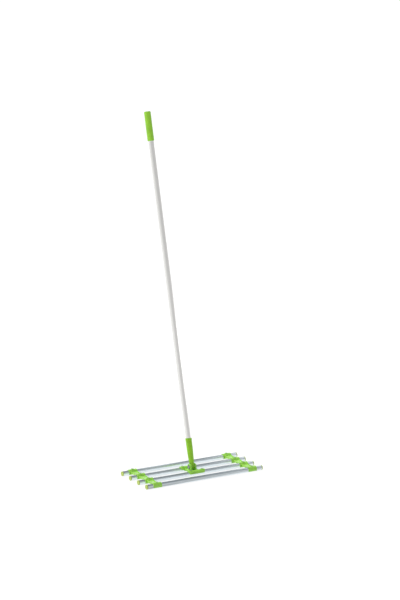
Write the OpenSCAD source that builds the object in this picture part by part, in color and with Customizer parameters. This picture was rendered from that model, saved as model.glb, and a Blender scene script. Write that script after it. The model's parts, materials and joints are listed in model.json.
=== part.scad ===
// Lawn leveling rake: a flat ladder of four tube bars, drawn over the ground by a long handle that
// tilts on a friction hinge. X runs along the bars, Y from the front bar to the rear bar and Z up.
// The origin lies on the ground, in the middle of the head and straight under the hinge.

/* [Bars] */
// Length of the head over the end plugs
head_w = 600; // [440:5:900]
// Distance between the axes of neighbouring bars
bar_pitch = 76; // [72:0.5:100]
// Outside diameter of a bar
bar_d = 22; // [20:0.5:24]
// Wall of a bar
bar_wall = 1.2; // [0.8:0.1:2]

/* [End plugs] */
// Thickness of the flange that closes a bar
plug_flange = 5; // [2.5:0.25:8]
// Rounding of the flange's rim
plug_edge = 1.6; // [0.5:0.1:2]
// Depth of the spigot in the bar
plug_depth = 16; // [12:1:24]
// Wall of the spigot
plug_wall = 1.6; // [1:0.1:2.5]
// Height of the sealing rings on the spigot
plug_ring = 0.8; // [0.4:0.1:1.2]
// Sealing rings on a spigot
plug_rings = 3; // [2:1:4]

/* [Saddles] */
// Wall of a saddle round its bar
saddle_wall = 3; // [2.4:0.1:4]
// Rounding of a saddle's ends
saddle_edge = 1.4; // [0.6:0.1:2]
// Diameter of a screw boss on a saddle
boss_d = 13; // [12:0.5:16]
// Height of a screw boss above its saddle
boss_rise = 2; // [1.5:0.25:3]

/* [End bridges] */
// Distance from the end of the head to the middle of a bridge
bridge_inset = 54; // [40:1:110]
// Length of a bridge's saddle along its bar
bridge_saddle = 42; // [38:1:60]
// Height of a bridge's open underside above the ground
bridge_lift = 4; // [2.5:0.25:5]
// Width of the web between two saddles
web_w = 30; // [22:1:34]
// Height of the web's plate above the ground
web_top = 17; // [14:0.5:19]
// Thickness of the web's plate
web_t = 3; // [2:0.25:4]
// Thickness of the ribs along the web
rib_t = 3; // [2:0.25:4]
// Height of the ribs above the plate
rib_rise = 3; // [2:0.25:4]
// Depth of the ribs below the plate, at the saddles
rib_drop = 6.5; // [5:0.25:8]
// Rise of the arch under the ribs
rib_arch = 4; // [2:0.25:5]

/* [Centre bracket] */
// Length of the bracket's saddles along the bars
bracket_saddle = 86; // [76:1:120]
// Height of the bracket's half saddles above the ground
bracket_lift = 11.5; // [9:0.25:13]
// Rounding of the half saddles' ends, as seen from above
bracket_round = 12; // [6:0.5:12]
// Distance of the bracket's screws from its middle
bracket_screw_x = 30; // [28:1:32]
// Width of the deck between the saddles
deck_w = 46; // [42:1:54]
// Thickness of the deck's plate
deck_t = 4; // [3:0.25:5]
// Room between the tongue and the deck
tongue_room = 3.2; // [2.5:0.1:4]

/* [Hinge] */
// Height of the hinge axis above the ground
hinge_h = 31; // [30:0.5:36]
// Radius of the ears round the axis
ear_r = 15; // [13:0.25:15]
// Thickness of an ear
ear_t = 8; // [7:0.25:10]
// Rounding of an ear's outer rim
ear_edge = 2; // [1:0.25:3]
// Width of an ear's foot on the deck
ear_foot = 34; // [30:0.5:36]
// Rounding between an ear and the deck
ear_fillet = 3; // [1:0.25:4]
// Thickness of the socket's tongue
tongue_w = 14; // [12:0.5:16]
// Diameter of the hinge bolt
bolt_d = 8; // [6:0.5:8]
// Diameter of the bolt's round head
bolt_head_d = 15; // [13:0.5:16]
// Height of the bolt's round head
bolt_head_h = 4.4; // [3.5:0.1:6]
// Width of the nut across its flats
nut_flats = 13; // [12:0.5:14]
// Thickness of the nut
nut_t = 8; // [6:0.5:9]
// Depth of the nut's pocket in its ear
nut_pocket = 3.5; // [2:0.25:4]
// Diameter of a friction washer
friction_d = 18; // [16:0.5:20]
// Thickness of a friction washer
friction_t = 1; // [0.8:0.1:1.5]
// Diameter of the flat washer under the bolt's head
flat_washer_d = 17; // [16:0.5:20]
// Thickness of the flat washer
flat_washer_t = 1.6; // [1:0.1:2]

/* [Handle] */
// Length of the handle from the hinge axis to its top
handle_len = 1620; // [1000:10:2000]
// Lean of the standing handle to the rear, in degrees
handle_lean = 14.6; // [0:0.1:40]
// Outside diameter of the handle tube
tube_d = 25; // [24:0.25:26]
// Wall of the handle tube
tube_wall = 1.2; // [0.8:0.1:2]
// Length of the grip
grip_len = 134; // [90:1:220]
// Outside diameter of the grip
grip_d = 30.5; // [29:0.25:36]
// Wall of the grip over the end of the tube
grip_end = 5; // [3:0.5:8]
// Rounding of the grip's top
grip_round = 4; // [2:0.25:5]
// Rounding of the grip's lower rim
grip_rim = 1; // [0.4:0.1:1.5]

/* [Handle socket] */
// Length of the socket from the hinge axis to its mouth
socket_len = 130; // [110:1:180]
// Depth of the tube in the socket
socket_depth = 50; // [40:1:70]
// Diameter of the sleeve round the tube
sleeve_d = 28.4; // [28:0.1:32]
// Diameter of the collar at the mouth
collar_d = 29.6; // [29:0.1:34]
// Length of the collar
collar_len = 12; // [6:0.5:20]
// Diameter of the neck above the hinge
neck_d = 23.6; // [22:0.2:25]
// Diameter of the hollow core of the neck
core_d = 16; // [10:0.5:17]
// Height of the core's floor above the hinge axis
core_floor = 34; // [28:1:60]
// Height of the fixing screw above the lower end of the tube
socket_screw_h = 20; // [10:1:30]

/* [Screws] */
// Diameter of a screw's shank
screw_d = 4.2; // [3.5:0.1:5]
// Diameter of a screw's head
screw_head_d = 8.4; // [7.5:0.1:9]
// Height of a screw's head
screw_head_h = 2.6; // [2:0.1:3]
// Depth of the head's seat in its boss
screw_seat = 2.4; // [1.5:0.1:2.8]
// Length of the shank inside its tube
screw_reach = 5; // [3:0.5:6]

/* [Clearances] */
// Clearance round bars, tubes, plugs and screws
fit_gap = 0.1; // [0.05:0.05:0.15]
// Clearance round the screw heads and the nut
head_gap = 0.4; // [0.2:0.1:0.6]
// Running clearance round the hinge bolt
run_gap = 0.08; // [0.05:0.01:0.1]
// Clearance beside the friction washers
side_gap = 0.15; // [0.1:0.05:0.3]
// Clearance between the ears and the socket's shoulder
shoulder_gap = 1.5; // [1:0.1:2]

/* [Hidden] */
$fn = 64;

// Every cut runs past the faces that it opens by this much
overrun = 1;

// Finishes, as they look on the object
green = "#80c62e";
lime = "#b4cf58";
bar_grey = "#c3c9ce";
tube_grey = "#dcdcd6";
zinc = "#a9adb0";
nylon = "#e8e6dc";

// Bars, from the rear to the front
bar_r = bar_d / 2;
bar_bore_r = bar_r - bar_wall;
bar_len = head_w - 2 * plug_flange;
rear = 1.5 * bar_pitch;
mid_rear = 0.5 * bar_pitch;
mid_front = -mid_rear;
front = -rear;
bar_ys = [rear, mid_rear, mid_front, front];
left = -1;
right = 1;

// Plugs: the rings divide the spigot evenly, and each tapers over a share of its step
spigot_r = bar_bore_r - fit_gap - plug_ring;
ring_step = plug_depth / (plug_rings + 1);
ring_step_share = 0.6;
ring_len = ring_step * ring_step_share;

// Saddles and their bosses
saddle_r = bar_r + fit_gap + saddle_wall;
saddle_bore_r = bar_r + fit_gap;
boss_top = bar_r + saddle_r + boss_rise;
boss_edge = 0.8;
seat_z = boss_top - screw_seat;
bridge_x = head_w / 2 - bridge_inset;

// Webs: the arch under a rib is part of a circle through both saddles
web_span = bar_pitch - 2 * saddle_r;
arch_r = (pow(web_span / 2, 2) + pow(rib_arch, 2)) / (2 * rib_arch);

// Hinge, stacked outwards from the tongue
neck_r = neck_d / 2;
deck_top = hinge_h - neck_r - tongue_room;
slot_w = tongue_w + 2 * (friction_t + side_gap);
ear_face = slot_w / 2 + ear_t;
bolt_r = bolt_d / 2;
bolt_seat = ear_face + flat_washer_t;
nut_seat = ear_face - nut_pocket;
bolt_end = 1.5;
bolt_edge = 0.6;
head_round = 3;
hex_key = 5;
hex_depth = 2.6;
nut_dome = 2;
washer_face_d = 21;
washer_face_t = 0.8;
ear_step = 0.8;
post_t = ear_t - washer_face_t - ear_step;

// Socket and tube
tube_r = tube_d / 2;
socket_base = ear_r + shoulder_gap;
socket_floor = socket_len - socket_depth;
socket_screw_z = socket_floor + socket_screw_h;
collar_edge = 1.2;
neck_edge = 1.5;
socket_boss_d = 11;
socket_boss_rise = 1.2;
tube_len = handle_len - grip_end - socket_floor;

// Screws
screw_r = screw_d / 2;
head_r = screw_head_d / 2;
head_edge = 1.3;
cross_len = 4.6;
cross_w = 1.1;
cross_depth = 1.3;
tip_len = 4;
tip_share = 0.3;

// Point where a line from an outer point touches a circle about the origin, on its upper right
function touch(r, point) =
    let (a = atan2(point[1], point[0]) + acos(r / norm(point)))
    [r * cos(a), r * sin(a)];

// Rod from the origin along Z with both rims rounded
module round_rod(r, length, edge) {
    rotate_extrude() {
        square([r - edge, length]);
        translate([0, edge])
            square([r, length - 2 * edge]);
        for (z = [edge, length - edge])
            translate([r - edge, z])
                circle(edge);
    }
}

// Disc on the origin with its upper rim rounded
module round_disc(r, height, edge) {
    rotate_extrude()
        intersection() {
            square([r, height]);
            union() {
                square([r - edge, height]);
                square([r, height - edge]);
                translate([r - edge, height - edge])
                    circle(edge);
            }
        }
}

// Lays what is drawn along Z along X, starting at x
module along_x(x) {
    translate([x, 0, 0])
        rotate([0, 90, 0])
            children();
}

// Draws its children at every bar, on the bar's axis
module at_bars() {
    for (y = bar_ys)
        translate([0, y, bar_r])
            children();
}

// Puts what stands on the hinge axis at the handle's lean
module on_handle() {
    translate([0, 0, hinge_h])
        rotate([-handle_lean, 0, 0])
            children();
}

// Self-tapping screw, seated at the origin with its shank down
module pan_screw(shank) {
    difference() {
        union() {
            round_disc(head_r, screw_head_h, head_edge);
            translate([0, 0, tip_len - shank])
                cylinder(r = screw_r, h = shank - tip_len);
            translate([0, 0, -shank])
                cylinder(r1 = screw_r * tip_share, r2 = screw_r, h = tip_len);
        }
        for (turn = [0, 90])
            rotate([0, 0, turn])
                translate([-cross_len / 2, -cross_w / 2, screw_head_h - cross_depth])
                    cube([cross_len, cross_w, cross_depth + overrun]);
    }
}

// Hole for a screw's shank, up from the origin
module shank_hole(length) {
    cylinder(r = screw_r + fit_gap, h = length);
}

// Bar on its own axis, drilled for the screws above the places in xs
module bar(xs) {
    color(bar_grey)
        difference() {
            along_x(-bar_len / 2)
                cylinder(r = bar_r, h = bar_len);
            along_x(-bar_len / 2 - overrun)
                cylinder(r = bar_bore_r, h = bar_len + 2 * overrun);
            for (x = xs)
                translate([x, 0, 0])
                    shank_hole(bar_r + overrun);
        }
}

module outer_bar(y) {
    translate([0, y, bar_r])
        bar([-bridge_x, bridge_x]);
}

module inner_bar(y) {
    translate([0, y, bar_r])
        bar([-bridge_x, -bracket_screw_x, bracket_screw_x, bridge_x]);
}

// Plug in the left or right end of a bar: a flange, a hollow spigot and its rings
module end_plug(y, side) {
    color(lime)
        translate([side * bar_len / 2, y, bar_r])
            rotate([0, side * 90, 0]) {
                round_disc(bar_r, plug_flange, plug_edge);
                difference() {
                    rotate_extrude() {
                        translate([0, -plug_depth])
                            square([spigot_r, plug_depth]);
                        for (i = [1 : plug_rings])
                            translate([spigot_r, -i * ring_step])
                                polygon([[-plug_ring, 0], [plug_ring, 0], [-plug_ring, -ring_len]]);
                    }
                    translate([0, 0, -plug_depth - overrun])
                        cylinder(r = spigot_r - plug_wall, h = plug_depth + overrun);
                }
            }
}

// Bosses of the screws at the places in xs, up from the bar's axis
module bosses(xs) {
    for (x = xs)
        translate([x, 0, 0])
            round_rod(boss_d / 2, boss_top - bar_r, boss_edge);
}

// Sleeve round a bar that leaves its underside bare, about the bar's axis
module bridge_sleeve() {
    intersection() {
        along_x(-bridge_saddle / 2)
            round_rod(saddle_r, bridge_saddle, saddle_edge);
        translate([-bridge_saddle / 2, -saddle_r, bridge_lift - bar_r])
            cube([bridge_saddle, 2 * saddle_r, bar_r + saddle_r - bridge_lift]);
    }
}

// Rectangle with round corners, about the origin
module round_plate(length, width, corner) {
    square([length - 2 * corner, width], center = true);
    square([length, width - 2 * corner], center = true);
    for (x = [-1, 1], y = [-1, 1])
        translate([x * (length / 2 - corner), y * (width / 2 - corner)])
            circle(corner);
}

// Half sleeve over the top of a bar, with round ends as seen from above
module bracket_sleeve() {
    intersection() {
        along_x(-bracket_saddle / 2)
            round_rod(saddle_r, bracket_saddle, saddle_edge);
        translate([0, 0, bracket_lift - bar_r])
            linear_extrude(bar_r + saddle_r - bracket_lift)
                round_plate(bracket_saddle, 2 * saddle_r, bracket_round);
    }
}

// What a saddle leaves free: the bar and the screws
module saddle_cuts(length, xs) {
    along_x(-length / 2 - overrun)
        cylinder(r = saddle_bore_r, h = length + 2 * overrun);
    for (x = xs)
        translate([x, 0, 0]) {
            shank_hole(boss_top);
            translate([0, 0, seat_z - bar_r])
                cylinder(r = head_r + head_gap, h = screw_seat + overrun);
        }
}

// Ribbed plate across the gap between two bars, with the ribs arched underneath
module ribbed_web(width, top, thickness) {
    rib_bottom = top - thickness - rib_drop;
    difference() {
        rotate([90, 0, 0])
            linear_extrude(bar_pitch, center = true) {
                translate([-width / 2 + rib_t / 2, top - thickness])
                    square([width - rib_t, thickness]);
                for (side = [left, right])
                    translate([side * (width - rib_t) / 2, 0]) {
                        translate([-rib_t / 2, rib_bottom])
                            square([rib_t, top + rib_rise - rib_t / 2 - rib_bottom]);
                        translate([0, top + rib_rise - rib_t / 2])
                            circle(rib_t / 2);
                    }
            }
        translate([0, 0, rib_bottom + rib_arch - arch_r])
            along_x(-width / 2 - overrun)
                cylinder(r = arch_r, h = width + 2 * overrun);
    }
}

// Bridge near one end of the head: four saddles joined by three webs
module end_bridge(side) {
    color(green)
        translate([side * bridge_x, 0, 0])
            difference() {
                union() {
                    at_bars() {
                        bridge_sleeve();
                        bosses([0]);
                    }
                    for (y = [-bar_pitch, 0, bar_pitch])
                        translate([0, y, 0])
                            ribbed_web(web_w, web_top, web_t);
                }
                at_bars()
                    saddle_cuts(bridge_saddle, [0]);
            }
}

module bridge_screws(side) {
    color(zinc)
        for (y = bar_ys)
            translate([side * bridge_x, y, seat_z])
                pan_screw(seat_z - bar_d + bar_wall + screw_reach);
}

// Side view of an ear's post, which widens from the round eye down to its foot
module ear_post() {
    foot = [ear_foot / 2, deck_top - hinge_h];
    eye = touch(ear_r, foot);
    polygon([eye, foot, [-foot[0], foot[1]], [-eye[0], eye[1]]]);
}

// Both ears of the hinge: a round eye with a raised face for the bolt, on a post with a rounded root
module ears() {
    for (flip = [0, 1])
        mirror([flip, 0, 0]) {
            translate([slot_w / 2, 0, hinge_h])
                rotate([90, 0, 90]) {
                    linear_extrude(post_t)
                        ear_post();
                    round_disc(ear_r, post_t + ear_step, ear_edge);
                    cylinder(r = washer_face_d / 2, h = ear_t);
                }
            translate([slot_w / 2 + post_t, 0, deck_top])
                rotate([90, 0, 0])
                    linear_extrude(ear_foot, center = true)
                        difference() {
                            square(ear_fillet);
                            translate([ear_fillet, ear_fillet])
                                circle(ear_fillet);
                        }
        }
}

// Bracket in the middle of the head: two long saddles, a ribbed deck and the ears of the hinge
module centre_bracket() {
    screw_xs = [-bracket_screw_x, bracket_screw_x];
    color(green)
        difference() {
            union() {
                for (y = [mid_rear, mid_front])
                    translate([0, y, bar_r]) {
                        bracket_sleeve();
                        bosses(screw_xs);
                    }
                ribbed_web(deck_w, deck_top, deck_t);
                ears();
            }
            for (y = [mid_rear, mid_front])
                translate([0, y, bar_r])
                    saddle_cuts(bracket_saddle, screw_xs);
            translate([0, 0, hinge_h]) {
                along_x(-ear_face - overrun)
                    cylinder(r = bolt_r + fit_gap, h = 2 * (ear_face + overrun));
                along_x(nut_seat)
                    cylinder(d = (nut_flats + 2 * head_gap) / cos(30), h = nut_pocket + overrun, $fn = 6);
            }
        }
}

module bracket_screws() {
    color(zinc)
        for (x = [-bracket_screw_x, bracket_screw_x], y = [mid_rear, mid_front])
            translate([x, y, seat_z])
                pan_screw(seat_z - bar_d + bar_wall + screw_reach);
}

// Bolt with a low round head and a hexagon socket, its head on the left ear
module hinge_bolt() {
    shank = bolt_seat + nut_seat + nut_t + bolt_end;
    color(zinc)
        translate([-bolt_seat, 0, hinge_h])
            along_x(0)
                difference() {
                    union() {
                        round_rod(bolt_r, shank, bolt_edge);
                        rotate([180, 0, 0])
                            round_disc(bolt_head_d / 2, bolt_head_h, head_round);
                    }
                    translate([0, 0, -bolt_head_h - overrun])
                        cylinder(d = hex_key / cos(30), h = hex_depth + overrun, $fn = 6);
                }
}

// Lock nut in the pocket of the right ear, with the round collar that holds its insert
module hinge_nut() {
    color(zinc)
        translate([0, 0, hinge_h])
            along_x(nut_seat)
                difference() {
                    union() {
                        cylinder(d = nut_flats / cos(30), h = nut_t - nut_dome, $fn = 6);
                        round_rod(nut_flats / 2 - bolt_edge, nut_t, bolt_edge);
                    }
                    translate([0, 0, -overrun])
                        cylinder(r = bolt_r + fit_gap, h = nut_t + 2 * overrun);
                }
}

module washer(outer, thickness) {
    difference() {
        cylinder(d = outer, h = thickness);
        translate([0, 0, -overrun])
            cylinder(r = bolt_r + fit_gap, h = thickness + 2 * overrun);
    }
}

module flat_washer() {
    color(zinc)
        translate([0, 0, hinge_h])
            along_x(-bolt_seat)
                washer(flat_washer_d, flat_washer_t);
}

// Two washers that rub on the tongue, each against the inner face of its ear
module friction_washers() {
    color(nylon)
        translate([0, 0, hinge_h])
            for (x = [-slot_w / 2, slot_w / 2 - friction_t])
                along_x(x)
                    washer(friction_d, friction_t);
}

// Revolved outline of the socket above the ears: neck, sleeve and collar
module socket_body() {
    rotate_extrude() {
        polygon([
            [0, socket_base],
            [neck_r - neck_edge, socket_base],
            [neck_r, socket_base + neck_edge],
            [sleeve_d / 2, socket_floor],
            [sleeve_d / 2, socket_len - collar_edge],
            [0, socket_len - collar_edge]
        ]);
    }
    translate([0, 0, socket_len - collar_len])
        round_rod(collar_d / 2, collar_len, collar_edge);
}

// Round neck flattened to fit between the ears, with a round end about the hinge axis
module tongue() {
    intersection() {
        rotate([90, 0, 90])
            linear_extrude(tongue_w, center = true) {
                circle(neck_r);
                translate([-neck_r, 0])
                    square([neck_d, socket_base + neck_edge]);
            }
        translate([0, 0, -neck_r - overrun])
            cylinder(r = neck_r, h = neck_r + overrun + socket_base + neck_edge);
    }
}

// Socket that takes the handle tube, with the tongue of the hinge below and a screw boss at the rear
module handle_socket() {
    color(green)
        on_handle()
            difference() {
                union() {
                    socket_body();
                    tongue();
                    translate([0, 0, socket_screw_z])
                        rotate([-90, 0, 0])
                            round_rod(socket_boss_d / 2, sleeve_d / 2 + socket_boss_rise, boss_edge);
                }
                translate([0, 0, socket_floor])
                    cylinder(r = tube_r + fit_gap, h = socket_depth + overrun);
                translate([0, 0, core_floor])
                    cylinder(d = core_d, h = socket_len - core_floor);
                translate([0, 0, socket_screw_z])
                    rotate([-90, 0, 0])
                        shank_hole(sleeve_d);
                along_x(-tongue_w / 2 - overrun)
                    cylinder(r = bolt_r + run_gap, h = tongue_w + 2 * overrun);
            }
}

module socket_screw() {
    seat = sleeve_d / 2 + socket_boss_rise;
    color(zinc)
        on_handle()
            translate([0, seat, socket_screw_z])
                rotate([-90, 0, 0])
                    pan_screw(seat - tube_r + tube_wall + screw_reach);
}

// Tube from the floor of the socket to the end of the grip, drilled at the rear for its screw
module handle_tube() {
    color(tube_grey)
        on_handle()
            difference() {
                translate([0, 0, socket_floor])
                    cylinder(r = tube_r, h = tube_len);
                translate([0, 0, socket_floor - overrun])
                    cylinder(r = tube_r - tube_wall, h = tube_len + 2 * overrun);
                translate([0, 0, socket_screw_z])
                    rotate([-90, 0, 0])
                        shank_hole(tube_d);
            }
}

// Closed sleeve over the top of the tube
module hand_grip() {
    color(green)
        on_handle()
            translate([0, 0, handle_len - grip_len])
                difference() {
                    rotate_extrude() {
                        square([grip_d / 2 - grip_round, grip_len]);
                        translate([0, grip_rim])
                            square([grip_d / 2, grip_len - grip_round - grip_rim]);
                        square([grip_d / 2 - grip_rim, grip_len - grip_round]);
                        translate([grip_d / 2 - grip_rim, grip_rim])
                            circle(grip_rim);
                        translate([grip_d / 2 - grip_round, grip_len - grip_round])
                            circle(grip_round);
                    }
                    translate([0, 0, -overrun])
                        cylinder(r = tube_r + fit_gap, h = grip_len - grip_end + overrun);
                }
}

outer_bar(rear);  // bar_rear
inner_bar(mid_rear);  // bar_mid_rear
inner_bar(mid_front);  // bar_mid_front
outer_bar(front);  // bar_front
end_plug(rear, left);  // plug_rear_left
end_plug(rear, right);  // plug_rear_right
end_plug(mid_rear, left);  // plug_mid_rear_left
end_plug(mid_rear, right);  // plug_mid_rear_right
end_plug(mid_front, left);  // plug_mid_front_left
end_plug(mid_front, right);  // plug_mid_front_right
end_plug(front, left);  // plug_front_left
end_plug(front, right);  // plug_front_right
end_bridge(left);  // end_bridge_left
end_bridge(right);  // end_bridge_right
bridge_screws(left);  // bridge_screws_left
bridge_screws(right);  // bridge_screws_right
centre_bracket();
bracket_screws();
hinge_bolt();
hinge_nut();
flat_washer();
friction_washers();
handle_socket();
socket_screw();
handle_tube();
hand_grip();
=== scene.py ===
"""Lawn leveling rake: the finishes of its pieces, threaded fasteners in place of the plain solids, a bright
studio and the camera.

Lengths are metres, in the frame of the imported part: X along the bars, Y to the rear bar, Z up.
"""

import json
import math

import bmesh
import bpy
from mathutils import Matrix, Vector


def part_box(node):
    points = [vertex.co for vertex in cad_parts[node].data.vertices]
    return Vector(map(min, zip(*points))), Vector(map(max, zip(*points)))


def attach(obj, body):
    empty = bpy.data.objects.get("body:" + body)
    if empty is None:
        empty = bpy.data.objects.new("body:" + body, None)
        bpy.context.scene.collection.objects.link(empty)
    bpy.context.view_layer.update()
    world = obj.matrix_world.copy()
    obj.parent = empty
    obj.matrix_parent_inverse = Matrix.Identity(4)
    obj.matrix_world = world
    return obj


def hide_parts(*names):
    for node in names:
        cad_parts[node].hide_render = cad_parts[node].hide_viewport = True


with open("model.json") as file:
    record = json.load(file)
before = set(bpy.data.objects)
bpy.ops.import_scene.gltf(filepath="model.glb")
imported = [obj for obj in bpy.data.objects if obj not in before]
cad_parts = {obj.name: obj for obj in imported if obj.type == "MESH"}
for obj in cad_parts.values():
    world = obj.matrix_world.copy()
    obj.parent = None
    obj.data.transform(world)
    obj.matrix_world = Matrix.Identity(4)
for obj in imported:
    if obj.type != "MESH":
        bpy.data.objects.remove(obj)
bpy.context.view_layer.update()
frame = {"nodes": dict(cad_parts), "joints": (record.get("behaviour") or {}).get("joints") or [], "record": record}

MM = 0.001
UP = Vector((0.0, 0.0, 1.0))
ALONG_BARS = Vector((1.0, 0.0, 0.0))
NODES = frame["nodes"]
HINGE = Vector(frame["joints"][0]["pos_m"])
GRIP_MOUNT = next(m for m in frame["record"]["mounts"] if m["name"] == "grip")
HANDLE_AXIS = Vector(GRIP_MOUNT["axis"])
HANDLE_LEAN = math.atan2(HANDLE_AXIS.y, HANDLE_AXIS.z)


class Wire:
    """The output of a shader node. Arithmetic on it adds Math nodes to the same tree."""

    def __init__(self, shade, socket):
        self.shade = shade
        self.socket = socket

    def math(self, operation, *values):
        return self.shade.node("ShaderNodeMath", {"operation": operation}, dict(enumerate(values)))

    def __add__(self, other):
        return self.math("ADD", self, other)

    def __rsub__(self, other):
        return self.math("SUBTRACT", other, self)

    def __mul__(self, other):
        return self.math("MULTIPLY", self, other)

    def __pow__(self, other):
        return self.math("POWER", self, other)

    __radd__ = __add__
    __rmul__ = __mul__

    def between(self, low, high):
        """0 below low, 1 above high, with a smooth step between them."""
        return self.shade.node(
            "ShaderNodeMapRange",
            {"interpolation_type": "SMOOTHSTEP"},
            {"Value": self, "From Min": low, "From Max": high},
        )


class Shade:
    """A node tree, with the few kinds of node that the finishes and the room share."""

    def __init__(self, tree):
        self.tree = tree

    def node(self, kind, settings=None, sockets=None, out=0):
        """Adds a node: its settings first, then the values or links of its sockets, by name or index."""
        node = self.tree.nodes.new(kind)
        for name, value in (settings or {}).items():
            setattr(node, name, value)
        for name, value in (sockets or {}).items():
            self.feed(self.pick(node.inputs, name), value)
        return Wire(self, self.pick(node.outputs, out))

    @staticmethod
    def pick(sockets, name):
        """The socket with a name or an index, among those that the node's settings leave in use."""
        usable = [socket for socket in sockets if socket.enabled]
        if isinstance(name, int):
            return usable[name]
        return next(socket for socket in usable if socket.name == name)

    def feed(self, socket, value):
        """Links a wire to a socket, or gives the socket a value."""
        if isinstance(value, Wire):
            self.tree.links.new(value.socket, socket)
        elif isinstance(value, tuple) and socket.type == "RGBA":
            socket.default_value = (*value, 1.0)
        else:
            socket.default_value = value

    def mix(self, factor, first, second):
        """A colour between two colours."""
        return self.node(
            "ShaderNodeMix",
            {"data_type": "RGBA"},
            {"Factor": factor, "A": first, "B": second},
        )

    def dot(self, first, second):
        """The dot product of two directions."""
        settings = {"operation": "DOT_PRODUCT"}
        return self.node("ShaderNodeVectorMath", settings, {0: first, 1: second}, out="Value")

    def noise(self, vector, scale, detail=2.0, roughness=0.5):
        return self.node(
            "ShaderNodeTexNoise",
            None,
            {"Vector": vector, "Scale": scale, "Detail": detail, "Roughness": roughness},
        )


# Finishes: a scale counts a noise's cells in a metre, or in a stretch, and a span runs from none of a mark to
# all of it
EDGE_SAMPLES = 6
EDGE_SPAN = (0.01, 0.2)
TINT_SPAN = (0.3, 0.7)

PLASTIC_IOR = 1.49
DEEP_LIGHT = 0.12
DEEP_LIGHT_REACH = 3.0 * MM
DEEP_LIGHT_TINT = (0.7, 1.0, 0.3)
CLOUD_SCALE = 34.0
CLOUD_SHADE = 0.86
CLOUD_DULLING = 0.1
GRAIN_SCALE = 2600.0
MOULD_GRAIN = 0.05 * MM
SCUFF_SCALE = 9.0
SCUFF_STRETCH = (0.3, 0.02, 0.02)
SCUFF_SPAN = (0.66, 0.8)
SCUFF_PALING = 0.35
RUB_SCALE = 150.0
RUB_REACH = 0.8 * MM
RUB_SPAN = (0.35, 0.65)
RUB_PALING = 0.3
WEAR_DULLING = 0.4

STREAK_SCALE = 1.0
STREAK_WIDTH = 1.6 * MM
BAR_STREAK_LENGTH = 0.4
TUBE_STREAK_LENGTH = 0.5
STREAK_SHADE = 0.88
STREAK_DULLING = 0.1
STREAK_DEPTH = 0.02 * MM
HANDLING_SCALE = 22.0
HANDLING_SPAN = (0.45, 0.75)
HANDLING_DULLING = 0.06

MOTTLE_SCALE = 700.0
MOTTLE_SPAN = (0.35, 0.75)
MOTTLE_DULLING = 0.2
MOTTLE_DEPTH = 0.01 * MM
PLATE_ROUGHNESS = 0.34
PLATE_RUB_REACH = 0.3 * MM
PLATE_RUB_SHARE = 0.5
RUBBED_ZINC = (0.78, 0.79, 0.8)


class Finish(Shade):
    """A material. Constants go straight to its shader's own sockets."""

    def __init__(self, name, **constants):
        self.material = bpy.data.materials.new(name)
        self.material.use_nodes = True
        super().__init__(self.material.node_tree)
        self.shader = self.tree.nodes["Principled BSDF"]
        for key, value in constants.items():
            self.set(key.replace("_", " ").title().replace("Ior", "IOR"), value)

    def set(self, name, value):
        self.feed(self.shader.inputs[name], value)

    def place(self, turn=(0.0, 0.0, 0.0), stretch=(1.0, 1.0, 1.0)):
        """The piece's own coordinates in metres, turned and stretched for a pattern."""
        coordinates = self.node("ShaderNodeTexCoord", out="Object")
        return self.node(
            "ShaderNodeMapping",
            {"vector_type": "TEXTURE"},
            {"Vector": coordinates, "Rotation": turn, "Scale": stretch},
        )

    def edges(self, reach):
        """1 on the sharp edges of the piece, fading to 0 within reach."""
        rounded = self.node("ShaderNodeBevel", {"samples": EDGE_SAMPLES}, {"Radius": reach})
        plain = self.node("ShaderNodeNewGeometry", out="Normal")
        return (1.0 - self.dot(rounded, plain)).between(*EDGE_SPAN)

    def relief(self, height, depth):
        """Bumps the surface by a height from 0 to 1 that stands for a depth in metres."""
        bump = self.node("ShaderNodeBump", None, {"Strength": 1.0, "Distance": depth, "Height": height})
        self.set("Normal", bump)


def darker(colour, share):
    return tuple(share * channel for channel in colour)


def moulded_plastic(name, colour, pale, roughness, grain_depth):
    """Moulded plastic: cloudy colour, a fine eroded grain, pale rubbed edges and a few pale scuffs."""
    finish = Finish(
        name,
        ior=PLASTIC_IOR,
        subsurface_weight=DEEP_LIGHT,
        subsurface_scale=DEEP_LIGHT_REACH,
        subsurface_radius=DEEP_LIGHT_TINT,
    )
    place = finish.place()
    cloud = finish.noise(place, CLOUD_SCALE, detail=3.0)
    grain = finish.noise(place, GRAIN_SCALE, detail=3.0, roughness=0.65)
    scuffs = finish.noise(finish.place(stretch=SCUFF_STRETCH), SCUFF_SCALE, detail=4.0).between(*SCUFF_SPAN)
    rubbed = finish.edges(RUB_REACH) * finish.noise(place, RUB_SCALE, detail=3.0).between(*RUB_SPAN)
    tint = finish.mix(cloud.between(*TINT_SPAN), darker(colour, CLOUD_SHADE), colour)
    wear = SCUFF_PALING * scuffs + RUB_PALING * rubbed
    finish.set("Base Color", finish.mix(wear, tint, pale))
    finish.set("Roughness", roughness + CLOUD_DULLING * cloud + WEAR_DULLING * wear)
    finish.relief(grain, grain_depth)
    return finish.material


def drawn_aluminium(name, colour, roughness, streak_turn, streak_stretch):
    """Drawn tube: fine streaks along its length and faint, duller handling marks."""
    finish = Finish(name, metallic=1.0)
    streak_place = finish.place(streak_turn, streak_stretch)
    streaks = finish.noise(streak_place, STREAK_SCALE, detail=5.0, roughness=0.6)
    handling = finish.noise(finish.place(), HANDLING_SCALE, detail=4.0).between(*HANDLING_SPAN)
    tint = finish.mix(streaks.between(*TINT_SPAN), darker(colour, STREAK_SHADE), colour)
    finish.set("Base Color", tint)
    finish.set("Roughness", roughness + STREAK_DULLING * streaks + HANDLING_DULLING * handling)
    finish.relief(streaks, STREAK_DEPTH)
    return finish.material


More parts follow.
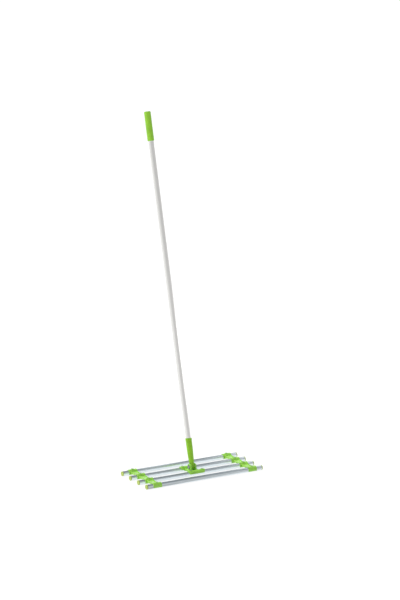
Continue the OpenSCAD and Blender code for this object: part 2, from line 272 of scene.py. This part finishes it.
def plated_steel(name, colour, dull):
    """Zinc plate: a fine mottled grain with dull patches, rubbed bright on the edges."""
    finish = Finish(name, metallic=1.0)
    mottle = finish.noise(finish.place(), MOTTLE_SCALE, detail=4.0)
    rubbed = finish.edges(PLATE_RUB_REACH)
    tint = finish.mix(mottle.between(*MOTTLE_SPAN), colour, dull)
    finish.set("Base Color", finish.mix(rubbed * PLATE_RUB_SHARE, tint, RUBBED_ZINC))
    finish.set("Roughness", PLATE_ROUGHNESS + MOTTLE_DULLING * mottle)
    finish.relief(mottle, MOTTLE_DEPTH)
    return finish.material


FINISHES = {
    "green_plastic": moulded_plastic(
        "moulded_green",
        colour=(0.335, 0.69, 0.085), pale=(0.5, 0.78, 0.24), roughness=0.22, grain_depth=MOULD_GRAIN,
    ),
    "socket_green": moulded_plastic(
        "moulded_socket_green",
        colour=(0.28, 0.595, 0.009), pale=(0.42, 0.72, 0.16), roughness=0.28, grain_depth=MOULD_GRAIN,
    ),
    "grip_vinyl": moulded_plastic(
        "soft_green_vinyl",
        colour=(0.32, 0.655, 0.035), pale=(0.42, 0.72, 0.16), roughness=0.42, grain_depth=0.12 * MM,
    ),
    "lime_plastic": moulded_plastic(
        "moulded_lime",
        colour=(0.43, 0.545, 0.1), pale=(0.5, 0.6, 0.2), roughness=0.36, grain_depth=MOULD_GRAIN,
    ),
    "nylon": moulded_plastic(
        "natural_nylon",
        colour=(0.8, 0.78, 0.7), pale=(0.86, 0.85, 0.8), roughness=0.4, grain_depth=0.03 * MM,
    ),
    "bar_aluminium": drawn_aluminium(
        "polished_bars",
        colour=(0.82, 0.895, 0.93), roughness=0.28,
        streak_turn=(0.0, 0.0, 0.0), streak_stretch=(BAR_STREAK_LENGTH, STREAK_WIDTH, STREAK_WIDTH),
    ),
    "tube_aluminium": drawn_aluminium(
        "satin_tube",
        colour=(0.9, 0.895, 0.87), roughness=0.3,
        streak_turn=(-HANDLE_LEAN, 0.0, 0.0), streak_stretch=(STREAK_WIDTH, STREAK_WIDTH, TUBE_STREAK_LENGTH),
    ),
    "zinc_steel": plated_steel("zinc_plate", colour=(0.58, 0.6, 0.62), dull=(0.42, 0.44, 0.48)),
}


def dress_nodes():
    """Gives every CAD node the finish of its slot in the record, and the socket a yellower green."""
    for part in frame["record"]["subparts"]:
        mesh = NODES[part["node"]].data
        mesh.materials.clear()
        finish = "socket_green" if part["node"] == "handle_socket" else part["material_slot"]
        mesh.materials.append(FINISHES[finish])


# Fasteners: the solids are plain, and these have threads, recesses, chamfers and rounded edges. They are
# shaped along their own Z, in millimetres, and then put in their solids' places
TURNED_STEPS = 48
ROUND_STEPS = 6
WELD = 0.0001
SMOOTH_ANGLE = math.radians(35.0)
HEX_ANGLES = [(side + 0.5) * math.pi / 3 for side in range(6)]

THREAD_STEPS = 24
THREAD_FOOT_TURNS = 1.5
THREAD_SPARE_TURNS = 3
CREST_START = 0.42
CREST_END = 0.58

SCREW_HEAD_R = 4.2
SCREW_HEAD_H = 2.6
SCREW_RIM_H = 1.3
SCREW_LAND_R = 3.2
SCREW_EDGE = 0.25
CROSS_LENGTH = 4.6
CROSS_WIDTH = 1.1
CROSS_DEPTH = 1.3
CROSS_FLOOR = 0.6
SCREW_CREST_R = 2.1
SCREW_ROOT_R = 1.6
SCREW_PITCH = 1.4
SCREW_SHANK = 8.9
SCREW_TIP = 4.0
SCREW_TIP_SHARE = 0.3
FIRST_SCREW_TURN = 1.0
NEXT_SCREW_TURN = 2.3
SOCKET_SCREW_UP = 100.0
SOCKET_SCREW_OUT = 15.4

BOLT_R = 4.0
BOLT_ROOT_R = 3.4
BOLT_PITCH = 1.25
BOLT_THREAD = 14.0
BOLT_TIP = 0.8
BOLT_TIP_SHARE = 0.85
BOLT_EDGE = 0.4
BOLT_HEAD_R = 7.5
BOLT_HEAD_H = 4.4
BOLT_RIM_H = 1.4
BOLT_LAND_R = 4.5
KEY_FLATS = 5.0
KEY_DEPTH = 2.6
KEY_FLOOR = 1.0

BORE_R = 4.1
NUT_FLATS = 13.0
NUT_CORNER_R = 7.6
NUT_HEX_H = 6.0
NUT_CHAMFER = 0.8
NUT_H = 8.0
COLLAR_R = 5.9
COLLAR_ROUND = 0.7
INSERT_R = 5.0
INSERT_LOW = 6.2
INSERT_HIGH = 7.7
WASHER_R = 8.5
WASHER_H = 1.6
WASHER_EDGE = 0.3


def quarter_round(start, end):
    """(radius, height) points of a quarter round that leaves start level and reaches end upright."""
    turns = [math.pi / 2 * step / ROUND_STEPS for step in range(ROUND_STEPS + 1)]
    return [
        (start[0] + (end[0] - start[0]) * math.sin(turn), end[1] + (start[1] - end[1]) * math.cos(turn))
        for turn in turns
    ]


def outline(shape, profile, closed=False):
    """Draws (radius, height) points as a chain of edges in the XZ plane."""
    points = [shape.verts.new((radius, 0.0, height)) for radius, height in profile]
    pairs = list(zip(points, points[1:]))
    if closed:
        pairs.append((points[-1], points[0]))
    return points + [shape.edges.new(pair) for pair in pairs]


def turned(profile, closed=False):
    """A solid of revolution. The ends of an open profile become flat faces."""
    shape = bmesh.new()
    chain = outline(shape, profile, closed)
    bmesh.ops.spin(
        shape, geom=chain, cent=(0, 0, 0), axis=(0, 0, 1), angle=math.tau, steps=TURNED_STEPS, use_merge=True
    )
    bmesh.ops.remove_doubles(shape, verts=shape.verts, dist=WELD)
    bmesh.ops.holes_fill(shape, edges=shape.edges, sides=0)
    bmesh.ops.recalc_face_normals(shape, faces=shape.faces)
    return shape


def trim(shape, point, outwards):
    """Cuts off what lies outwards of a plane and closes the cut."""
    everything = shape.verts[:] + shape.edges[:] + shape.faces[:]
    cut = bmesh.ops.bisect_plane(
        shape, geom=everything, dist=WELD, plane_co=point, plane_no=outwards, clear_outer=True
    )
    rim = [part for part in cut["geom_cut"] if isinstance(part, bmesh.types.BMEdge)]
    bmesh.ops.edgeloop_fill(shape, edges=rim)


def threaded_rod(crest, root, pitch, length):
    """A rod with a screw thread, from Z = 0 down to -length, flat at both ends."""
    shape = bmesh.new()
    tooth = [(root, 0.0), (crest, CREST_START * pitch), (crest, CREST_END * pitch), (root, pitch)]
    turns = math.ceil(length / pitch) + THREAD_SPARE_TURNS
    bmesh.ops.spin(
        shape, geom=outline(shape, tooth), cent=(0, 0, 0), axis=(0, 0, 1), dvec=(0, 0, pitch / THREAD_STEPS),
        angle=math.tau * turns, steps=turns * THREAD_STEPS,
    )
    bmesh.ops.remove_doubles(shape, verts=shape.verts, dist=WELD)
    foot = THREAD_FOOT_TURNS * pitch
    trim(shape, (0, 0, foot), (0, 0, -1))
    trim(shape, (0, 0, foot + length), (0, 0, 1))
    bmesh.ops.recalc_face_normals(shape, faces=shape.faces)
    bmesh.ops.translate(shape, verts=shape.verts, vec=(0, 0, -foot - length))
    return shape


def taper(shape, end, length, share):
    """Draws the last stretch of a rod, down to the height end, in to a share of its width."""
    for vert in shape.verts:
        reach = max(0.0, 1.0 - (vert.co.z - end) / length)
        vert.co.xy *= 1.0 - (1.0 - share) * reach


def level_way(angle):
    """The level direction at an angle round Z."""
    return Vector((math.cos(angle), math.sin(angle), 0.0))


def sink(shape, top, cuts, inside, depth, floor_share):
    """Sinks a recess into a flat top, with a floor that is a share of its mouth.

    Cuts are (angle, distance) lines across the top, and inside picks the fields between them that sink.
    """

    def fields():
        return [face for face in shape.faces if all(abs(vert.co.z - top) < WELD for vert in face.verts)]

    for angle, distance in cuts:
        way = level_way(angle)
        land = fields()
        parts = {part for face in land for part in (*face.verts, *face.edges)}
        bmesh.ops.bisect_plane(
            shape, geom=[*land, *parts], dist=WELD, plane_co=way * distance, plane_no=way
        )
    picked = [face for face in fields() if inside(face.calc_center_median())]
    edges = {edge for face in picked for edge in face.edges}
    sunk = bmesh.ops.extrude_face_region(shape, geom=[*picked, *edges])["geom"]
    floor = [part for part in sunk if isinstance(part, bmesh.types.BMVert)]
    bmesh.ops.translate(shape, verts=floor, vec=(0, 0, -depth))
    bmesh.ops.scale(shape, verts=floor, vec=(floor_share, floor_share, 1.0))


def join(shape, other, matrix=Matrix()):
    """Adds a copy of another shape."""
    copy = bpy.data.meshes.new("copy")
    other.to_mesh(copy)
    before = len(shape.verts)
    shape.from_mesh(copy)
    bpy.data.meshes.remove(copy)
    shape.verts.ensure_lookup_table()
    bmesh.ops.transform(shape, matrix=matrix, verts=shape.verts[before:])


def pan_screw():
    """A screw with a pan head, a cross recess and a tapered thread. The underside of its head is at Z = 0."""
    dome = quarter_round((SCREW_LAND_R, SCREW_HEAD_H), (SCREW_HEAD_R, SCREW_RIM_H))
    under = [(SCREW_HEAD_R, SCREW_EDGE), (SCREW_HEAD_R - SCREW_EDGE, 0.0)]
    neck = [(SCREW_CREST_R, 0.0), (SCREW_ROOT_R, SCREW_ROOT_R - SCREW_CREST_R)]
    shape = turned(dome + under + neck)
    cuts = [
        (quarter * math.pi / 2, half)
        for quarter in range(4)
        for half in (CROSS_WIDTH / 2, CROSS_LENGTH / 2)
    ]

    def in_cross(point):
        narrow, wide = sorted((abs(point.x), abs(point.y)))
        return narrow < CROSS_WIDTH / 2 and wide < CROSS_LENGTH / 2

    sink(shape, SCREW_HEAD_H, cuts, in_cross, CROSS_DEPTH, CROSS_FLOOR)
    thread = threaded_rod(SCREW_CREST_R, SCREW_ROOT_R, SCREW_PITCH, SCREW_SHANK)
    taper(thread, -SCREW_SHANK, SCREW_TIP, SCREW_TIP_SHARE)
    join(shape, thread)
    thread.free()
    return shape


def button_bolt(length):
    """A bolt with a button head, a hexagon socket and a thread at its end.

    The underside of its head is at Z = 0, and the length runs down from there.
    """
    dome = quarter_round((BOLT_LAND_R, BOLT_HEAD_H), (BOLT_HEAD_R, BOLT_RIM_H))
    under = [(BOLT_HEAD_R, BOLT_EDGE), (BOLT_HEAD_R - BOLT_EDGE, 0.0)]
    plain = BOLT_THREAD - length
    neck = [(BOLT_R + BOLT_EDGE, 0.0), (BOLT_R, -BOLT_EDGE)]
    shank = [(BOLT_R, plain), (BOLT_ROOT_R, plain - BOLT_EDGE)]
    shape = turned(dome + under + neck + shank)
    cuts = [(angle, KEY_FLATS / 2) for angle in HEX_ANGLES]

    def in_key(point):
        return point.xy.length < KEY_FLATS / 4

    sink(shape, BOLT_HEAD_H, cuts, in_key, KEY_DEPTH, KEY_FLOOR)
    thread = threaded_rod(BOLT_R, BOLT_ROOT_R, BOLT_PITCH, BOLT_THREAD)
    bmesh.ops.translate(thread, verts=thread.verts, vec=(0, 0, plain))
    taper(thread, -length, BOLT_TIP, BOLT_TIP_SHARE)
    join(shape, thread)
    thread.free()
    return shape


def lock_nut():
    """A hexagon nut with a round collar, chamfered at both ends, with its bearing face at Z = 0."""
    bevelled = [
        (BORE_R + NUT_CHAMFER, 0.0),
        (NUT_FLATS / 2 - NUT_CHAMFER / 2, 0.0),
        (NUT_CORNER_R, NUT_CHAMFER),
        (NUT_CORNER_R, NUT_HEX_H - NUT_CHAMFER),
        (NUT_FLATS / 2 - NUT_CHAMFER / 2, NUT_HEX_H),
        (COLLAR_R, NUT_HEX_H),
    ]
    collar = quarter_round((COLLAR_R - COLLAR_ROUND, NUT_H), (COLLAR_R, NUT_H - COLLAR_ROUND))[::-1]
    inside = [(INSERT_R, NUT_H), (INSERT_R, INSERT_LOW), (BORE_R, INSERT_LOW), (BORE_R, NUT_CHAMFER)]
    shape = turned(bevelled + collar + inside, closed=True)
    for angle in HEX_ANGLES:
        way = level_way(angle)
        trim(shape, way * NUT_FLATS / 2, way)
    bmesh.ops.recalc_face_normals(shape, faces=shape.faces)
    return shape


def bevelled_ring(inner, outer, low, high, edge):
    """A ring with chamfered edges."""
    return turned([
        (inner, low + edge), (inner + edge, low), (outer - edge, low), (outer, low + edge),
        (outer, high - edge), (outer - edge, high), (inner + edge, high), (inner, high - edge),
    ], closed=True)


def add_piece(name, shape, places, slot, body, node=None):
    """Makes a piece of one shape at each of its places. It rides on a body and may stand for a CAD node."""
    whole = bmesh.new()
    for place in places:
        join(whole, shape, place @ Matrix.Scale(MM, 4))
    shape.free()
    mesh = bpy.data.meshes.new(name)
    whole.to_mesh(mesh)
    whole.free()
    mesh.shade_smooth()
    mesh.set_sharp_from_angle(angle=SMOOTH_ANGLE)
    mesh.materials.append(FINISHES[slot])
    piece = bpy.data.objects.new(name, mesh)
    bpy.context.scene.collection.objects.link(piece)
    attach(piece, body)
    if node:
        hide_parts(node)


def screw_places(node, columns, rows):
    """Where the upright screws of a node sit: even columns along X and rows along Y.

    Each screw is turned further than the one before, so that their crosses aren't in line.
    """
    low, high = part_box(node)
    edge = SCREW_HEAD_R * MM
    seat = high.z - SCREW_HEAD_H * MM

    def spread(start, end, count):
        if count == 1:
            return [(start + end) / 2]
        return [start + edge + (end - start - 2 * edge) * step / (count - 1) for step in range(count)]

    spots = [(x, y) for x in spread(low.x, high.x, columns) for y in spread(low.y, high.y, rows)]
    return [
        Matrix.Translation((x, y, seat)) @ Matrix.Rotation(FIRST_SCREW_TURN + NEXT_SCREW_TURN * index, 4, "Z")
        for index, (x, y) in enumerate(spots)
    ]


def along_hinge(x, way):
    """A place on the hinge's axis, for a piece whose Z points along X or, for a way of -1, against it."""
    return Matrix.Translation((x, HINGE.y, HINGE.z)) @ Matrix.Rotation(way * math.pi / 2, 4, "Y")


def add_screws():
    """The screws of the bridges and the bracket, and the one behind the socket that holds the tube."""
    for node, columns, rows in (
        ("bridge_screws_left", 1, 4),
        ("bridge_screws_right", 1, 4),
        ("bracket_screws", 2, 2),
    ):
        name = node.replace("screws", "pan_screws")
        add_piece(name, pan_screw(), screw_places(node, columns, rows), "zinc_steel", "head", node)
    outwards = Vector((0.0, HANDLE_AXIS.z, -HANDLE_AXIS.y))
    seat = HINGE + HANDLE_AXIS * SOCKET_SCREW_UP * MM + outwards * SOCKET_SCREW_OUT * MM
    place = Matrix.Translation(seat) @ outwards.to_track_quat("Z", "Y").to_matrix().to_4x4()
    add_piece("socket_pan_screw", pan_screw(), [place], "zinc_steel", "handle", "socket_screw")


def add_hinge_fasteners():
    """The hinge's bolt with its washer, and the lock nut with its nylon ring."""
    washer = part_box("flat_washer")[0].x
    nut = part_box("hinge_nut")[0].x
    bolt_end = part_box("hinge_bolt")[1].x
    bolt = button_bolt((bolt_end - washer) / MM)
    add_piece("button_head_bolt", bolt, [along_hinge(washer, -1)], "zinc_steel", "head", "hinge_bolt")
    add_piece("collar_lock_nut", lock_nut(), [along_hinge(nut, 1)], "zinc_steel", "head", "hinge_nut")
    insert = bevelled_ring(BOLT_R, INSERT_R, INSERT_LOW, INSERT_HIGH, WASHER_EDGE)
    add_piece("nut_insert", insert, [along_hinge(nut, 1)], "nylon", "head")
    ring = bevelled_ring(BORE_R, WASHER_R, 0.0, WASHER_H, WASHER_EDGE)
    add_piece("bevelled_washer", ring, [along_hinge(washer, 1)], "zinc_steel", "head", "flat_washer")


# Camera, placed so that the photo's frame of 400 by 600 pixels shows the rake as the photo does
CAMERA_AZIMUTH = math.radians(-29.713)
CAMERA_ELEVATION = math.radians(14.274)
CAMERA_DISTANCE = 14.0
CAMERA_LENS = 187.82
CAMERA_REACH = 200.0
AIM_ASIDE = 36.265 * MM
AIM_HEIGHT = 809.409 * MM

RIGHT = Vector((math.cos(CAMERA_AZIMUTH), math.sin(CAMERA_AZIMUTH), 0.0))
AWAY = Vector((-math.sin(CAMERA_AZIMUTH), math.cos(CAMERA_AZIMUTH), 0.0))


def set_camera():
    """Puts the camera back from its aim, a point over the head."""
    back = Vector((
        math.sin(CAMERA_AZIMUTH) * math.cos(CAMERA_ELEVATION),
        -math.cos(CAMERA_AZIMUTH) * math.cos(CAMERA_ELEVATION),
        math.sin(CAMERA_ELEVATION),
    ))
    data = bpy.data.cameras.new("camera")
    data.lens = CAMERA_LENS
    data.clip_end = CAMERA_REACH
    camera = bpy.data.objects.new("camera", data)
    camera.rotation_euler = back.to_track_quat("Z", "Y").to_euler()
    camera.location = RIGHT * AIM_ASIDE + UP * AIM_HEIGHT + back * CAMERA_DISTANCE
    bpy.context.scene.collection.objects.link(camera)
    bpy.context.scene.camera = camera


# Studio: a white table that glows, with a painted shadow on it (a dark card that only the front bar mirrors),
# under a broad light from the rear left and two soft fills, one by the right end of the head and one over its rear
# bars
FLOOR_SIZE = 120.0
FLOOR_GLOW = 0.86
FLOOR_GREY = 0.2
SHEET_ROUGHNESS = 0.9
# Painted shadow: a dark card on the floor in front of the head stands for the front bar's shadow, and only the
# bar's reflection shows it
CARD_LENGTH = 0.9
CARD_WIDTH = 0.12
CARD_MIDDLE = Vector((0.0, -0.188, 0.0005))
CARD_TURN = math.radians(-1.7)
PAINTED_SHADOW_GLOW = 0.48
PAINTED_SHADOW_GREY = 0.0
SUN_STRENGTH = 2.95
SUN_ANGLE = math.radians(60.0)
SUN_FROM = Vector((-0.5, 0.5, 1.0))
RIGHT_FILL_POWER = 1.4
RIGHT_FILL_SIZE = 0.6
RIGHT_FILL_AT = Vector((0.8, 0.08, 0.45))
RIGHT_FILL_AIM = Vector((0.27, 0.0, 0.02))
REAR_FILL_POWER = 0.07
REAR_FILL_SIZE = 0.22
REAR_FILL_AT = Vector((-0.02, 0.2, 0.2))
REAR_FILL_AIM = Vector((-0.12, 0.1, 0.02))

# Room: walls that are lighter at the left and the rear, a bright backdrop, a dim and bluish ceiling, a dark
# beam overhead along the bars and a dim right end. A span gives the cosines between which each sets in
WALL_LIGHT = 0.62
LEFT_WALL_LIGHT = 0.46
LEFT_WALL_SPAN = (0.15, 1.1)
REAR_WALL_LIGHT = 0.2
REAR_WALL_SPAN = (-0.2, 0.8)
BACKDROP_LIGHT = 0.5
BACKDROP_SPAN = (0.8, 0.96)
BACKDROP_TOP = (0.35, 0.6)
CEILING_DIM = 0.45
CEILING_SPAN = (0.2, 0.9)
DARK_BEAM_DIM = 0.52
DARK_BEAM_SPAN = (0.587, 0.939)
DARK_BEAM_WAY = Vector((0.0, 0.344, 0.939))
RIGHT_END_DIM = 0.4
RIGHT_END_SPAN = (0.82, 0.95)
WHITE = (1.0, 1.0, 1.0)
BLUISH_WHITE = (0.9, 0.95, 1.0)


def lay_sheet(name, length, width, place, grey, glow):
    """A flat sheet on or over the ground that glows by itself."""
    shape = bmesh.new()
    bmesh.ops.create_grid(shape, x_segments=1, y_segments=1, size=0.5)
    bmesh.ops.scale(shape, vec=(length, width, 1.0), verts=shape.verts)
    bmesh.ops.transform(shape, matrix=place, verts=shape.verts)
    mesh = bpy.data.meshes.new(name)
    shape.to_mesh(mesh)
    shape.free()
    finish = Finish(
        name,
        base_color=(grey, grey, grey),
        roughness=SHEET_ROUGHNESS,
        specular_ior_level=0.0,
        emission_color=WHITE,
        emission_strength=glow,
    )
    mesh.materials.append(finish.material)
    sheet = bpy.data.objects.new(name, mesh)
    bpy.context.scene.collection.objects.link(sheet)
    return sheet


def set_floor():
    """The pale table, and a dark card in front of the head: a painted shadow of the front bar that only shows as a
    reflection.
    """
    lay_sheet("pale_floor", FLOOR_SIZE, FLOOR_SIZE, Matrix(), FLOOR_GREY, FLOOR_GLOW)
    # The card paints the front bar's shadow on the floor, and only reflections see it
    shadow_card_place = Matrix.Translation(CARD_MIDDLE) @ Matrix.Rotation(CARD_TURN, 4, "Z")
    shadow_card = lay_sheet("painted_shadow_card", CARD_LENGTH, CARD_WIDTH, shadow_card_place, PAINTED_SHADOW_GREY, PAINTED_SHADOW_GLOW)
    shadow_card.visible_camera = False
    shadow_card.visible_diffuse = False
    shadow_card.visible_transmission = False
    shadow_card.visible_shadow = False


def add_light(name, kind, power, shine_from):
    """A lamp that shines along the line from shine_from to the origin."""
    data = bpy.data.lights.new(name, kind)
    data.energy = power
    light = bpy.data.objects.new(name, data)
    light.rotation_euler = shine_from.to_track_quat("Z", "Y").to_euler()
    bpy.context.scene.collection.objects.link(light)
    return light


def add_fill(name, power, size, place, aim):
    """A square lamp at a place, turned to its aim."""
    fill = add_light(name, "AREA", power, place - aim)
    fill.location = place
    fill.data.size = size


def set_lights():
    """The broad light, which no surface mirrors, and the two fills."""
    broad = add_light("broad_light", "SUN", SUN_STRENGTH, SUN_FROM)
    broad.data.angle = SUN_ANGLE
    broad.visible_glossy = False
    add_fill("right_fill", RIGHT_FILL_POWER, RIGHT_FILL_SIZE, RIGHT_FILL_AT, RIGHT_FILL_AIM)
    add_fill("rear_fill", REAR_FILL_POWER, REAR_FILL_SIZE, REAR_FILL_AT, REAR_FILL_AIM)


def set_room():
    """The light of the room, by the direction that it comes from."""
    world = bpy.data.worlds.new("room")
    world.use_nodes = True
    bpy.context.scene.world = world
    room = Shade(world.node_tree)
    direction = room.node("ShaderNodeTexCoord", out="Generated")

    def towards(way):
        return room.dot(direction, tuple(way.normalized()))

    height = towards(UP)
    left_wall = towards(-RIGHT).between(*LEFT_WALL_SPAN)
    rear_wall = towards(AWAY).between(*REAR_WALL_SPAN)
    backdrop = towards(AWAY).between(*BACKDROP_SPAN) * (1.0 - height.between(*BACKDROP_TOP))
    ceiling = height.between(*CEILING_SPAN)
    along_bars = towards(ALONG_BARS)
    # The beam has no ends, so its cosine is taken across the bars
    beam_cosine = towards(DARK_BEAM_WAY) * (1.0 - along_bars * along_bars) ** -0.5
    dark_beam = beam_cosine.between(*DARK_BEAM_SPAN)
    right_end = along_bars.between(*RIGHT_END_SPAN)
    light = WALL_LIGHT + LEFT_WALL_LIGHT * left_wall + REAR_WALL_LIGHT * rear_wall + BACKDROP_LIGHT * backdrop
    for dim, area in ((CEILING_DIM, ceiling), (DARK_BEAM_DIM, dark_beam), (RIGHT_END_DIM, right_end)):
        light = light * (1.0 - dim * area)
    background = world.node_tree.nodes["Background"]
    room.feed(background.inputs["Color"], room.mix(ceiling, WHITE, BLUISH_WHITE))
    room.feed(background.inputs["Strength"], light)


def set_exposure():
    """Shows the light as it is, without a film's curve."""
    view = bpy.context.scene.view_settings
    view.view_transform = "Standard"
    view.look = "None"


dress_nodes()
add_screws()
add_hinge_fasteners()
set_camera()
set_floor()
set_lights()
set_room()
set_exposure()
